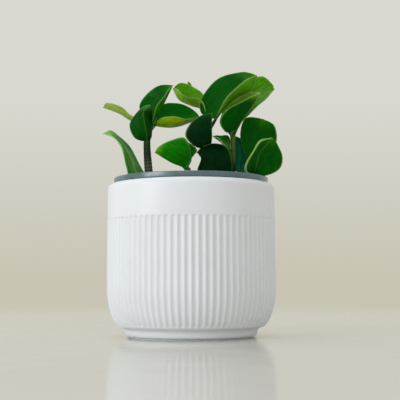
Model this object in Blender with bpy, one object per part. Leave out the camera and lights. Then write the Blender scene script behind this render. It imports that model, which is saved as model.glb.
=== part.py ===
"""A small house plant with broad folded leaves, standing in the soil of a liner that hangs in a fluted pot.

Metres, +Z up. The origin is where the pot's axis meets the surface that it stands on, and the plant's best
side faces -Y. Leaves and stems are laid out in millimetres, because each of their points was placed by hand.
"""

import math

import bmesh
import bpy
from mathutils import Vector

MM = 0.001
FIT_GAP = 0.3 * MM
RING = 80
COARSE_RING = 40
SHARP_ANGLE = math.radians(35)

# Outer pot
BODY_RADIUS = 65.0 * MM
TOP_RADIUS = 64.6 * MM
POT_HEIGHT = 117.6 * MM
LIP_RADIUS = 59.8 * MM
MOUTH_RADIUS = 57.0 * MM
LIP_DEPTH = 3.0 * MM
SHOULDER = 4.8 * MM
SHOULDER_STEPS = 3
WALL = 2.8 * MM
FLOOR_TOP = 9.0 * MM
FOOT_RADIUS = 49.0 * MM
PLINTH_RADIUS = 51.3 * MM
PLINTH_HEIGHT = 6.6 * MM
CORNER_WIDTH = 13.0 * MM
CORNER_TOP = 38.0 * MM
INNER_HEIGHTS = [CORNER_TOP, 20.0 * MM, FLOOR_TOP]

# Flutes in the outer wall
FLUTES = 80
FLUTE_POINTS = 3
FLUTE_DEPTH = 1.0 * MM
FLUTE_BOTTOM = 9.5 * MM
FLUTE_TOP = 90.5 * MM
FLUTE_END = 2.5 * MM
FLUTED_HEIGHTS = [13.5 * MM, 19.0 * MM, 26.5 * MM, CORNER_TOP, FLUTE_TOP - FLUTE_END]

# Liner
RIM_HEIGHT = 4.1 * MM
RIM_INNER_RADIUS = 56.2 * MM
RIM_ROUND = 0.6 * MM
LINER_TOP_RADIUS = 55.8 * MM
LINER_FOOT_RADIUS = 50.0 * MM
LINER_BOTTOM = 24.0 * MM
LINER_WALL = 1.6 * MM
DRAIN_HOLES = 6
DRAIN_RING = 30.0 * MM
DRAIN_RADIUS = 3.0 * MM
DRAIN_CUT = 10.0 * MM
DRAIN_SIDES = 8

# Soil, and the holes that the stems stand in
SOIL_LEVEL = 113.0 * MM
SOIL_MOUND = 2.0 * MM
SOIL_LUMP = 0.5 * MM
LUMP_LENGTH = 33.0 * MM
SMALL_LUMP_LENGTH = 15.0 * MM
SOIL_RINGS = [1.0, 0.8, 0.6, 0.4, 0.2]
STEM_DEPTH = 18.0 * MM
STEM_CLEARANCE = 0.4 * MM
HOLE_SIDES = 12

# Stems and leaves
STEM_SIDES = 10
STEM_STATIONS = 8
STEM_DOME = 0.6
STALK_RADIUS = 1.3 * MM
STALK_EDGE = 0.32
STALK_THINNING = 0.7
STALK_STATIONS = 2
BLADE_STATIONS = 9
STRIPS_PER_HALF = 2
MARGIN_HALF_THICKNESS = 0.4 * MM
BLADE_HALF_THICKNESS = 0.5 * MM
MIDRIB_HALF_THICKNESS = 0.9 * MM
TIP_HALF_WIDTH = 0.5 * MM
TIP_SHARE = 0.985
FLAT_BELOW = 3.0 * MM
BOW = 0.08
AIM_STEP = 0.01


def surface(name, colour, roughness):
    """A plain Principled material."""
    found = bpy.data.materials.new(name)
    found.use_nodes = True
    shader = found.node_tree.nodes["Principled BSDF"]
    shader.inputs["Base Color"].default_value = (*colour, 1.0)
    shader.inputs["Roughness"].default_value = roughness
    shader.inputs["Metallic"].default_value = 0.0
    return found


def mix(start, end, share):
    """The value at a share of the way from start to end."""
    return start + (end - start) * share


def add_object(name, bm, material):
    """Turns a bmesh into a named object with its normals facing out."""
    bmesh.ops.recalc_face_normals(bm, faces=bm.faces)
    mesh = bpy.data.meshes.new(name)
    bm.to_mesh(mesh)
    bm.free()
    mesh.materials.append(material)
    mesh.shade_smooth()
    mesh.set_sharp_from_angle(angle=SHARP_ANGLE)
    made = bpy.data.objects.new(name, mesh)
    bpy.context.scene.collection.objects.link(made)
    return made


def apply_modifiers(target):
    """Replaces the object's mesh with what its modifiers make of it."""
    graph = bpy.context.evaluated_depsgraph_get()
    graph.update()
    finished = bpy.data.meshes.new_from_object(target.evaluated_get(graph))
    target.modifiers.clear()
    target.data = finished


def cut_away(target, cutter):
    """Subtracts the cutter from the target for good, and removes the cutter."""
    modifier = target.modifiers.new("cut", "BOOLEAN")
    modifier.operation = "DIFFERENCE"
    modifier.object = cutter
    apply_modifiers(target)
    bpy.data.objects.remove(cutter)


def add_ring(bm, radius, height, count):
    """A level ring of points; radius is a number or a function of the point's index."""
    points = []
    for index in range(count):
        angle = math.tau * index / count
        reach = radius(index) if callable(radius) else radius
        points.append(bm.verts.new((reach * math.cos(angle), reach * math.sin(angle), height)))
    return points


def join_rings(bm, lower, upper):
    """Fills the band between two rings, where one may have a whole multiple of the other's points."""
    fine, coarse = (lower, upper) if len(lower) >= len(upper) else (upper, lower)
    ratio = len(fine) // len(coarse)
    for index, corner in enumerate(coarse):
        following = coarse[(index + 1) % len(coarse)]
        edge = [fine[(index * ratio + step) % len(fine)] for step in range(ratio + 1)]
        if ratio == 1:
            bm.faces.new((corner, following, edge[1], edge[0]))
            continue
        middle = (ratio + 1) // 2
        for step in range(ratio):
            bm.faces.new((corner if step < middle else following, edge[step + 1], edge[step]))
        bm.faces.new((corner, following, edge[middle]))


def close_ring(bm, ring, centre):
    """Closes a ring with a fan of triangles round a point."""
    hub = bm.verts.new(centre)
    for index, corner in enumerate(ring):
        bm.faces.new((corner, ring[(index + 1) % len(ring)], hub))


def turned(bm, rows):
    """Rows of (radius, height, count) from the axis round to the axis again, joined into one closed skin."""
    rings = [add_ring(bm, radius, height, count) for radius, height, count in rows]
    for lower, upper in zip(rings, rings[1:]):
        join_rings(bm, lower, upper)
    close_ring(bm, rings[0], (0.0, 0.0, rows[0][1]))
    close_ring(bm, rings[-1], (0.0, 0.0, rows[-1][1]))


def wall_radius(height):
    """The outer wall's radius, without flutes: an elliptic lower corner under a wall that leans in."""
    if height < CORNER_TOP:
        below = (CORNER_TOP - height) / (CORNER_TOP - PLINTH_HEIGHT)
        return BODY_RADIUS - CORNER_WIDTH + CORNER_WIDTH * math.sqrt(max(0.0, 1.0 - below * below))
    return mix(BODY_RADIUS, TOP_RADIUS, (height - CORNER_TOP) / (POT_HEIGHT - SHOULDER - CORNER_TOP))


def fluted(height):
    """Radius by index for a fluted ring: each flute is a narrow ridge and a flat groove."""
    outer = wall_radius(height)
    return lambda index: outer if index % FLUTE_POINTS == 0 else outer - FLUTE_DEPTH


def build_outer_pot():
    """The white pot, a deep cup on a low plinth."""
    bm = bmesh.new()
    flute_ring = FLUTES * FLUTE_POINTS
    rows = [
        (FOOT_RADIUS, 0.0, RING),
        (PLINTH_RADIUS, PLINTH_HEIGHT * 0.5, RING),
        (PLINTH_RADIUS, PLINTH_HEIGHT, RING),
        (wall_radius(FLUTE_BOTTOM), FLUTE_BOTTOM, flute_ring),
    ]
    rows += [(fluted(height), height, flute_ring) for height in FLUTED_HEIGHTS]
    rows += [(wall_radius(FLUTE_TOP), FLUTE_TOP, flute_ring)]
    for step in range(SHOULDER_STEPS + 1):
        turn = 0.5 * math.pi * step / SHOULDER_STEPS
        radius = mix(LIP_RADIUS, TOP_RADIUS, math.cos(turn))
        rows.append((radius, POT_HEIGHT - SHOULDER * (1.0 - math.sin(turn)), RING))
    lip_bottom = POT_HEIGHT - LIP_DEPTH
    rows += [
        (MOUTH_RADIUS, POT_HEIGHT, COARSE_RING),
        (MOUTH_RADIUS, lip_bottom, COARSE_RING),
        (TOP_RADIUS - WALL, lip_bottom - SHOULDER, COARSE_RING),
    ]
    rows += [(wall_radius(height) - WALL, height, COARSE_RING) for height in INNER_HEIGHTS]
    turned(bm, rows)
    return add_object("outer_pot", bm, surface("white_plastic", (0.72, 0.75, 0.79), 0.4))


def upright_cutters(name, holes, sides):
    """Upright cylinders as one cutting object; a hole is (x, y, middle height, radius, length)."""
    bm = bmesh.new()
    for x, y, height, radius, length in holes:
        made = bmesh.ops.create_cone(
            bm, cap_ends=True, segments=sides, radius1=radius, radius2=radius, depth=length
        )
        bmesh.ops.translate(bm, verts=made["verts"], vec=Vector((x, y, height)))
    return add_object(name, bm, surface(name, (0.5, 0.5, 0.5), 0.5))


def build_inner_pot():
    """The blue-grey liner: a tapered bucket whose rim stands on the outer pot's top edge."""
    bm = bmesh.new()
    seat = POT_HEIGHT + FIT_GAP
    rim_top = seat + RIM_HEIGHT
    rows = [
        (LINER_FOOT_RADIUS, LINER_BOTTOM, COARSE_RING),
        (LINER_TOP_RADIUS, seat, COARSE_RING),
        (LIP_RADIUS, seat, RING),
        (LIP_RADIUS, rim_top - RIM_ROUND, RING),
        (LIP_RADIUS - RIM_ROUND, rim_top, RING),
        (RIM_INNER_RADIUS, rim_top, RING),
        (LINER_TOP_RADIUS - LINER_WALL, seat, COARSE_RING),
        (LINER_FOOT_RADIUS - LINER_WALL, LINER_BOTTOM + LINER_WALL, COARSE_RING),
    ]
    turned(bm, rows)
    liner = add_object("inner_pot", bm, surface("blue_grey_plastic", (0.09, 0.16, 0.18), 0.45))
    holes = []
    for index in range(DRAIN_HOLES):
        angle = math.tau * index / DRAIN_HOLES
        x, y = DRAIN_RING * math.cos(angle), DRAIN_RING * math.sin(angle)
        holes.append((x, y, LINER_BOTTOM, DRAIN_RADIUS, DRAIN_CUT))
    cut_away(liner, upright_cutters("drain_cutters", holes, DRAIN_SIDES))
    return liner


def liner_inner_radius(height):
    """The liner's inner wall at a height below its rim."""
    seat = POT_HEIGHT + FIT_GAP
    floor_top = LINER_BOTTOM + LINER_WALL
    return mix(LINER_FOOT_RADIUS, LINER_TOP_RADIUS, (height - floor_top) / (seat - floor_top)) - LINER_WALL


def soil_height(x, y):
    """The lumpy top of the soil, a little higher round the middle."""
    reach = math.hypot(x, y) / LINER_TOP_RADIUS
    lumps = math.sin(math.tau * x / LUMP_LENGTH) * math.cos(math.tau * y / LUMP_LENGTH)
    lumps += math.sin(math.tau * (x - y) / SMALL_LUMP_LENGTH)
    return SOIL_LEVEL + SOIL_MOUND * (1.0 - reach * reach) + SOIL_LUMP * lumps * (1.0 - reach)


def build_soil():
    """Potting mix that fills the liner, with a plain hole for each stem."""
    bm = bmesh.new()
    floor = LINER_BOTTOM + LINER_WALL + FIT_GAP
    outer = liner_inner_radius(SOIL_LEVEL) - FIT_GAP
    rings = [add_ring(bm, liner_inner_radius(floor) - FIT_GAP, floor, COARSE_RING)]
    for share in SOIL_RINGS:
        ring = add_ring(bm, outer * share, SOIL_LEVEL, COARSE_RING if share > 0.5 else COARSE_RING // 2)
        for point in ring:
            point.co.z = soil_height(point.co.x, point.co.y)
        rings.append(ring)
    for lower, upper in zip(rings, rings[1:]):
        join_rings(bm, lower, upper)
    close_ring(bm, rings[0], (0.0, 0.0, floor))
    close_ring(bm, rings[-1], (0.0, 0.0, soil_height(0.0, 0.0)))
    soil = add_object("soil", bm, surface("potting_mix", (0.035, 0.022, 0.014), 0.95))
    holes = []
    for shoot in SHOOTS.values():
        foot = Vector(shoot["stem"][0]) * MM
        radius = shoot["radii"][0] * MM + STEM_CLEARANCE
        holes.append((foot.x, foot.y, SOIL_LEVEL, radius, 2.0 * (STEM_DEPTH + FIT_GAP)))
    cut_away(soil, upright_cutters("stem_cutters", holes, HOLE_SIDES))
    return soil


def smooth_route(points, share):
    """A point on the smooth curve through the given points, by its share of the way along them."""
    lengths = [(b - a).length for a, b in zip(points, points[1:])]
    target = share * sum(lengths)
    index = 0
    while index < len(lengths) - 1 and target > lengths[index]:
        target -= lengths[index]
        index += 1
    t = target / lengths[index]
    start, end = points[index], points[index + 1]
    before = points[index - 1] if index > 0 else start * 2 - end
    after = points[index + 2] if index + 2 < len(points) else end * 2 - start
    scale = lengths[index]
    pull_start = (end - before) * (scale / ((end - start).length + (start - before).length))
    pull_end = (after - start) * (scale / ((after - end).length + (end - start).length))
    h = (2 * t**3 - 3 * t**2 + 1, t**3 - 2 * t**2 + t, -2 * t**3 + 3 * t**2, t**3 - t**2)
    return start * h[0] + pull_start * h[1] + end * h[2] + pull_end * h[3]


def heading(points, share):
    """The direction of the smooth curve at a share of its length."""
    low = max(0.0, share - AIM_STEP)
    high = min(1.0, share + AIM_STEP)
    return (smooth_route(points, high) - smooth_route(points, low)).normalized()


def stem_mesh(bm, route, radii):
    """A tapered tube along a smooth route, with a domed top."""
    rings = []
    for step in range(STEM_STATIONS + 1):
        share = step / STEM_STATIONS
        centre = smooth_route(route, share)
        along = heading(route, share)
        across = along.cross(Vector((0.0, 1.0, 0.0))).normalized()
        beside = along.cross(across)
        radius = mix(radii[0], radii[1], share)
        ring = []
        for side in range(STEM_SIDES):
            angle = math.tau * side / STEM_SIDES
            ring.append(bm.verts.new(centre + (across * math.cos(angle) + beside * math.sin(angle)) * radius))
        rings.append(ring)
    for lower, upper in zip(rings, rings[1:]):
        join_rings(bm, lower, upper)
    close_ring(bm, rings[0], route[0])
    close_ring(bm, rings[-1], route[-1] + heading(route, 1.0) * radii[1] * STEM_DOME)


def leaf_mesh(bm, leaf):
    """One leaf: a short round stalk that opens into a folded blade, as a closed skin."""
    midrib = [Vector(point) * MM for point in leaf["midrib"]]
    stalk, rib = midrib[:2], midrib[1:]
    margins = [[rib[0], *(Vector(point) * MM for point in leaf[side]), rib[-1]] for side in ("left", "right")]
    first = 1.0 / BLADE_STATIONS
    first_reaches = [smooth_route(margin, first) - smooth_route(rib, first) for margin in margins]
    skins = ([], [])
    stalk_aim = (stalk[1] - stalk[0]).normalized()
    for step in range(STALK_STATIONS - 1):
        centre = stalk[0].lerp(stalk[1], step / (STALK_STATIONS - 1))
        add_section(bm, centre, stalk_aim, stalk_halves(stalk_aim, first_reaches), 0.0, skins)
    foot_aim = heading(rib, 0.0)
    add_section(bm, rib[0], foot_aim, stalk_halves(foot_aim, first_reaches), 0.0, skins)
    for step in range(1, BLADE_STATIONS + 1):
        share = min(step / BLADE_STATIONS, TIP_SHARE)
        centre = smooth_route(rib, share)
        along = heading(rib, share)
        reaches = [smooth_route(margin, share) - centre for margin in margins]
        add_section(bm, centre, along, blade_halves(along, reaches), share, skins)
    skin_leaf(bm, *skins)


def stalk_halves(along, reaches):
    """The halves of a round section: which way each lies from the middle, its width and how open it is."""
    level = [(reach - along * reach.dot(along)).normalized() for reach in reaches]
    flat = (level[0] - level[1]).normalized()
    return [(flat, STALK_RADIUS, 0.0), (-flat, STALK_RADIUS, 0.0)]


def blade_halves(along, reaches):
    """The same for a blade's section. It lies flat across where it is narrow, at its foot and tip."""
    ways = [reach.normalized() for reach in reaches]
    flat = (ways[0] - ways[1]).normalized()
    halves = []
    for way, reach, outward in zip(ways, reaches, (flat, -flat)):
        opened = min(1.0, reach.length / FLAT_BELOW)
        halves.append((outward.lerp(way, opened).normalized(), max(reach.length, TIP_HALF_WIDTH), opened))
    return halves


def add_section(bm, centre, along, halves, share, skins):
    """The points across a leaf at one place, on its upper and its lower face."""
    normals = [along.cross(halves[0][0]).normalized(), halves[1][0].cross(along).normalized()]
    for strip in range(-STRIPS_PER_HALF, STRIPS_PER_HALF + 1):
        out = abs(strip) / STRIPS_PER_HALF
        way, width, opened = halves[strip > 0]
        if strip == 0:
            normal = (normals[0] + normals[1]).normalized()
            opened = min(halves[0][2], halves[1][2])
            flat_half = mix(MIDRIB_HALF_THICKNESS, MARGIN_HALF_THICKNESS, share)
        else:
            normal = normals[strip > 0]
            flat_half = mix(BLADE_HALF_THICKNESS, MARGIN_HALF_THICKNESS, out)
        round_half = STALK_RADIUS * mix(1.0, STALK_EDGE, out * out) * (1.0 - STALK_THINNING * share)
        half_thickness = mix(round_half, flat_half, opened)
        bow = BOW * width * opened * math.sin(math.pi * out)
        place = centre + way * (width * out) - normal * bow
        skins[0].append(bm.verts.new(place + normal * half_thickness))
        skins[1].append(bm.verts.new(place - normal * half_thickness))


def skin_leaf(bm, upper, lower):
    """Closes the two faces of a leaf, split into triangles alike, and its edge."""
    width = 2 * STRIPS_PER_HALF + 1
    upper = [upper[start : start + width] for start in range(0, len(upper), width)]
    lower = [lower[start : start + width] for start in range(0, len(lower), width)]
    last = len(upper) - 1
    for row in range(last):
        for column in range(width - 1):
            for face in (upper, lower):
                a, b = face[row][column], face[row][column + 1]
                c, d = face[row + 1][column + 1], face[row + 1][column]
                if column < width // 2:
                    bm.faces.new((a, b, c))
                    bm.faces.new((a, c, d))
                else:
                    bm.faces.new((a, b, d))
                    bm.faces.new((b, c, d))
        for column in (0, width - 1):
            edge = (upper[row][column], upper[row + 1][column])
            bm.faces.new((*edge, lower[row + 1][column], lower[row][column]))
    for row in (0, last):
        for column in range(width - 1):
            edge = (upper[row][column], upper[row][column + 1])
            bm.faces.new((*edge, lower[row][column + 1], lower[row][column]))


# Each shoot has its stem, as a route from its foot in the soil up, the radii at both ends, and its leaves.
# A leaf has the route of its midrib, from inside the stem over the blade's foot to the tip, and the points
# that each margin passes between that foot and the tip, left and right as seen along the midrib from above.
SHOOTS = {
    "shoot_left": {
        "stem": [(-32, -8, 95), (-32, -8, 117), (-34, -8, 148), (-32.5, -8, 161)],
        "radii": (3.9, 2.3),
        "leaves": {
            "upper": {
                "midrib": [
                    (-32.5, -8, 159), (-30.5, -8, 163), (-26, -9, 171.5), (-20.5, -10, 181),
                    (-14, -12, 194),
                ],
                "left": [(-40, 0, 178), (-35, 2, 189), (-25.5, -4, 194.5)],
                "right": [(-28.5, -17, 169.5), (-24.5, -20, 178), (-18, -17, 187.5)],
            },
            "front": {
                "midrib": [
                    (-33.5, -9, 146), (-34, -12, 149.5), (-34, -16, 155), (-35.5, -18, 164),
                    (-36, -18, 171.5), (-31, -14, 178),
                ],
                "left": [(-30.5, -11, 153.5), (-30, -10, 161.5), (-30, -11, 172)],
                "right": [(-43, -14, 152.5), (-47, -13, 162), (-42, -14, 171.5), (-37, -14, 176)],
            },
            "pointing_left": {
                "midrib": [
                    (-34, -7, 161), (-38.5, -6, 165), (-47, -5, 168), (-56, -4, 173.5),
                    (-69, -2, 178.5),
                ],
                "left": [(-47, -14, 168.5), (-55, -16, 174), (-63, -12, 179)],
                "right": [(-49, 5, 174.5), (-56.5, 8, 180.5), (-65, 5, 183)],
            },
            "pointing_right": {
                "midrib": [
                    (-32.5, -7, 162), (-28.5, -5, 164), (-22.5, -3, 163), (-13, -1, 163), (-3, 1, 166),
                    (7.5, 3, 171.5),
                ],
                "left": [(-22.5, 4, 180.5), (-11, 7, 183), (1, 6, 178)],
                "right": [(-22, -14, 168), (-11.5, -16, 168), (-1.5, -10, 167.5)],
            },
            "pointing_back": {
                "midrib": [
                    (-33.5, -7, 148), (-34.5, 0, 154), (-36, 10, 163), (-37, 20, 169), (-38, 34, 175),
                ],
                "left": [(-43, 8, 163), (-47, 19, 171), (-44, 29, 175)],
                "right": [(-29, 9, 164), (-27, 20, 171), (-31, 29, 175)],
            },
            "arching": {
                "midrib": [
                    (-33, -9, 116.5), (-38.5, -12, 119.5), (-43, -14, 127), (-45.5, -15, 134),
                    (-49.5, -16, 142), (-56, -15.5, 151.5), (-62, -14, 157), (-68, -13, 155.5),
                ],
                "left": [
                    (-47, -18, 121), (-48.5, -20, 128), (-50.5, -23, 136.5), (-53.5, -22.5, 145),
                    (-59.5, -19, 152.5),
                ],
                "right": [
                    (-35, -8.5, 122), (-38, -6, 129), (-43, -5, 138.5), (-48.8, -6, 147.5),
                    (-55.5, -8.5, 154.3), (-62, -10.5, 158.5),
                ],
            },
        },
    },
    "shoot_middle": {
        "stem": [(-2.5, -15, 95), (-2.5, -15, 117), (-2.7, -16, 128)],
        "radii": (2.8, 2.4),
        "leaves": {
            "pointing_left": {
                "midrib": [
                    (-2.7, -16, 126.5), (-3.5, -17.5, 128.5), (-8.5, -20, 130.5), (-14.5, -22, 132.5),
                    (-27.5, -24, 140),
                ],
                "left": [(-0.5, -22, 140), (-5, -27, 150), (-16, -27, 148), (-24.5, -26, 143.5)],
                "right": [(0, -12, 136), (4.5, -6, 144.5), (-5.5, -8, 150.5), (-17.5, -15, 146.5)],
            },
            "pointing_back": {
                "midrib": [
                    (-2.6, -15, 122), (-3.5, -9, 127), (-5.5, -1, 133), (-8, 8, 138), (-11, 20, 143),
                ],
                "left": [(-11, -3, 136), (-15.5, 5, 141), (-15, 14, 143)],
                "right": [(0, 1, 136.5), (-1, 11, 141.5), (-5, 18, 143.5)],
            },
        },
    },
    "shoot_centre": {
        "stem": [(12, -4, 95), (12, -4, 117), (12.5, -4, 147), (14.5, -3, 162)],
        "radii": (3, 2),
        "leaves": {
            "highest": {
                "midrib": [
                    (14.5, -3, 160), (18.5, -4, 167), (25, -6, 175.5), (35, -9, 184.5), (47, -11, 191),
                    (51.5, -12, 201.5),
                ],
                "left": [(8, 2, 175), (10, 5, 189), (21.5, 4, 201.5), (39.5, -4, 205.5)],
                "right": [(21.5, -17, 172.5), (29, -22, 183.5), (40, -20, 194.5)],
            },
            "pointing_back_left": {
                "midrib": [
                    (14.3, -3, 160), (13.5, 0, 167.5), (9.5, 9, 178.5), (0, 15, 183),
                    (-9.5, 19, 188.5), (-14.5, 22, 198.5),
                ],
                "left": [(7.5, 3, 185.5), (-3.5, 6, 187.5), (-10, 14, 195)],
                "right": [(10, 18, 191.5), (2, 24, 199.5), (-8, 26, 203)],
            },
            "pointing_back": {
                "midrib": [(14, -3, 157), (15, 6, 168), (12.5, 18, 180), (7, 28, 191), (-2.5, 35, 206.5)],
                "left": [(7.5, 18, 181), (1, 29, 190.5), (-2, 34, 199.5)],
                "right": [(15, 25, 188.5), (9, 33, 194.5), (2, 35.5, 200.5)],
            },
            "front": {
                "midrib": [
                    (12.7, -5, 141), (14.5, -10, 146), (15.5, -15, 152), (15.5, -18, 160),
                    (16, -17, 171),
                ],
                "left": [(12.5, 0, 151.5), (11.5, 2, 159.5), (13.5, -6, 168)],
                "right": [(4.5, -18, 144.5), (-4, -20, 153), (0, -18, 163), (8, -16, 169)],
            },
        },
    },
    "shoot_low": {
        "stem": [(24, -8, 95), (24, -8, 117), (24, -8, 124)],
        "radii": (2.6, 2.2),
        "leaves": {
            "pointing_left": {
                "midrib": [
                    (24, -8, 122), (23, -11, 126), (18.5, -13, 131.5), (13, -14, 138.5), (4, -15, 141),
                ],
                "left": [(17, -15, 119.5), (6, -18, 121.5), (5, -19, 127), (7.5, -18, 136)],
                "right": [
                    (30.5, -11, 126), (31, -12, 134.5), (27, -14, 145), (17.5, -16, 147.5),
                    (9.5, -17, 145),
                ],
            },
            "pointing_back": {
                "midrib": [(24, -8, 119), (24, -3, 124), (24, 5, 130), (23.5, 13, 135), (22, 24, 140)],
                "left": [(18, 4, 131), (17, 12, 136), (18.5, 19, 139)],
                "right": [(28.5, 4, 129.5), (29, 12, 134.5), (26.5, 19, 138)],
            },
        },
    },
    "shoot_right": {
        "stem": [(32.6, -3, 95), (32.6, -3, 117), (32.9, -3, 144), (33.1, -3, 157)],
        "radii": (2.2, 1.8),
        "leaves": {
            "front": {
                "midrib": [
                    (32.6, -3.2, 155), (33.8, -5.5, 159), (37.5, -8, 164.5), (43, -11, 171.5),
                    (54, -16, 187),
                ],
                "left": [(25, 4, 172), (28, 7, 183), (38.5, 3.5, 189.5), (48, -5, 189.5)],
                "right": [(27, -10, 157.5), (22.5, -14, 165), (28, -18, 173.5), (40.5, -20, 180)],
            },
            "behind": {
                "midrib": [(33.1, -3, 155.5), (36, 0, 162), (46, 4, 177), (53.5, 6, 187), (67, 8, 194.5)],
                "left": [(39, 10, 186), (49, 14, 203), (57.5, 14, 206), (64.5, 10, 199)],
                "right": [(41, -2, 168.5), (55.5, -5, 181.5), (61.5, 0, 188)],
            },
            "low_left": {
                "midrib": [
                    (32.7, -3, 130), (32, 1, 137), (29.5, 5, 145.5), (26, 7.5, 150.5), (17, 10, 157.5),
                ],
                "left": [(27.5, -5, 145.5), (24.5, -3, 150.5), (21, 2, 154.5)],
                "right": [(32.5, 12, 149.5), (29.5, 14, 157.5), (23, 13, 158)],
            },
            "low_behind": {
                "midrib": [(32.8, -3, 120), (37, 2, 126.5), (38, 5, 134), (38.5, 8, 144), (36, 10, 157)],
                "left": [(32.5, 5, 132), (30.5, 8, 144.5), (32.5, 9, 153.5)],
                "right": [(43.5, 2.5, 127.5), (44.5, 4.5, 136), (44.5, 6, 144), (41, 8, 153.5)],
            },
            "pointing_back": {
                "midrib": [(33, -3, 148), (32.5, 3, 155), (32, 12, 165), (31, 22, 173), (31, 36, 181)],
                "left": [(26.5, 10, 165), (24.5, 20, 173), (26, 30, 179)],
                "right": [(37.5, 11, 166), (37.5, 21, 174), (35.5, 30, 179)],
            },
        },
    },
    "shoot_far_right": {
        "stem": [(46, -8, 95), (46, -8, 117), (46, -8, 124)],
        "radii": (2.6, 2.2),
        "leaves": {
            "behind": {
                "midrib": [(46, -8, 122), (45.5, -4, 128), (47, 0, 138), (49.5, 2, 150.5), (57, 1, 169.5)],
                "left": [(41, 1, 145), (39, 2, 158.5), (43.5, 2, 170)],
                "right": [(55.5, 0, 134.5), (66.5, 2, 150), (65.5, 1, 163.5)],
            },
            "front": {
                "midrib": [
                    (46, -8, 121), (47.5, -13, 123.5), (49.5, -17, 130), (52, -19, 139.5),
                    (62.5, -18, 151.5),
                ],
                "left": [(40.5, -22, 126.5), (45.5, -26, 138), (52.5, -24, 148.5)],
                "right": [(56.5, -14, 123), (68, -12, 128.5), (70, -13, 138), (66.5, -15, 146.5)],
            },
            "pointing_back": {
                "midrib": [(46, -8, 120), (48, 0, 126), (50, 8, 134), (52, 16, 141), (54, 28, 148)],
                "left": [(44, 9, 137), (44, 17, 144), (48, 25, 148)],
                "right": [(56, 5, 137), (59.5, 13, 143), (58.5, 22, 148)],
            },
        },
    },
}


def build_shoot(name, shoot, material):
    """A stem with its leaves, fused into one body."""
    bm = bmesh.new()
    stem_mesh(bm, [Vector(point) * MM for point in shoot["stem"]], [radius * MM for radius in shoot["radii"]])
    stem = add_object(name, bm, material)
    group = bpy.data.collections.new(f"{name}_leaves")
    for leaf_name, leaf in shoot["leaves"].items():
        bm = bmesh.new()
        leaf_mesh(bm, leaf)
        blade = add_object(f"{name}_{leaf_name}", bm, material)
        bpy.context.scene.collection.objects.unlink(blade)
        group.objects.link(blade)
    union = stem.modifiers.new("leaves", "BOOLEAN")
    union.operation = "UNION"
    union.operand_type = "COLLECTION"
    union.collection = group
    apply_modifiers(stem)
    for blade in list(group.objects):
        bpy.data.objects.remove(blade)
    bpy.data.collections.remove(group)
    return stem


def build_plant():
    """The whole object, piece by piece."""
    for old in list(bpy.data.objects):
        bpy.data.objects.remove(old)
    build_outer_pot()
    build_inner_pot()
    build_soil()
    leaf_green = surface("leaf_green", (0.03, 0.16, 0.01), 0.35)
    for name, shoot in SHOOTS.items():
        build_shoot(name, shoot, leaf_green)


build_plant()
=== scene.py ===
"""The looks of a small house plant with broad folded leaves, in a liner that hangs in a fluted white pot.

Metres, +Z up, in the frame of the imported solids. Stems and leaves are laid out in millimetres, at the same
points as the solids that they replace.
"""

import math
import random

import bmesh
import bpy
import numpy as np
from mathutils import Matrix, Vector, noise


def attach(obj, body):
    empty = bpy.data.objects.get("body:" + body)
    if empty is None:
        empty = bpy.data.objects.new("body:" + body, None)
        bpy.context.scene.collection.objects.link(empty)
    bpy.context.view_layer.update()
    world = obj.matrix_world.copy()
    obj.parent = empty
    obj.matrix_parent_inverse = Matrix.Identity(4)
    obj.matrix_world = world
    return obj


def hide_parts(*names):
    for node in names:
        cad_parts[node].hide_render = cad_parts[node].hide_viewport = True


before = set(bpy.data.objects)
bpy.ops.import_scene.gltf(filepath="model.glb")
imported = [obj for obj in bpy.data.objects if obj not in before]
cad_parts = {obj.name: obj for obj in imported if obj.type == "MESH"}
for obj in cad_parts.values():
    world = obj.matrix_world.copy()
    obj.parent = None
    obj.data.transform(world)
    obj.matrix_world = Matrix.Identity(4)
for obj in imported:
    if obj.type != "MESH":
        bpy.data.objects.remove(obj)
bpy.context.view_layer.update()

MM = 0.001
SEED = 11

# Camera: where it stood for the photograph, on the pot's axis but for a small turn to the right
CAMERA_DISTANCE = 0.74006
CAMERA_HEIGHT = 0.04492
CAMERA_PITCH = 0.08163
CAMERA_YAW = 0.00932
CAMERA_ROLL = -0.0039
FOCAL_PIXELS = 953.35
FRAME_PIXELS = 400.0
SENSOR = 36.0

# Outer pot
BODY_RADIUS = 65.0 * MM
TOP_RADIUS = 64.6 * MM
POT_HEIGHT = 117.6 * MM
LIP_RADIUS = 59.8 * MM
MOUTH_RADIUS = 57.0 * MM
LIP_DEPTH = 3.0 * MM
LIP_ROUND = 0.5 * MM
SHOULDER = 4.8 * MM
WALL = 2.8 * MM
FLOOR_TOP = 9.0 * MM
FLOOR_CHAMFER = 1.0 * MM
FOOT_RADIUS = 49.0 * MM
FOOT_INSET = 2.2 * MM
FOOT_LIFT = 1.0 * MM
WAIST_SHARE = 0.66
WAIST_INSET = 0.4 * MM
HOLLOW_GAP = 0.2 * MM
PLINTH_RADIUS = 51.3 * MM
PLINTH_HEIGHT = 6.6 * MM
CORNER_WIDTH = 13.0 * MM
CORNER_TOP = 38.0 * MM
POT_SHARP = 50.0
FLUTES = 80
FLUTE_DEPTH = 1.0 * MM
FLUTE_BOTTOM = 9.5 * MM
FLUTE_TOP = 90.5 * MM
GROOVE_SHARE = 0.4
FLUTE_POINTS = 10

# Heights in millimetres of the rings on the straight wall, closest at the flutes' round ends, and inside it
WALL_HEIGHTS = [44.0, 56.0, 68.0, 78.0, 84.0, 86.5, 87.4, 87.9, 88.3, 88.7, 89.1, 89.4, 89.7, 90.0, 90.3]
WALL_HEIGHTS += [90.5, 90.9, 92.0, 97.0, 105.0, 110.0]
INNER_HEIGHTS = [38.0, 28.0, 20.0, 14.0, 10.0]

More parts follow.
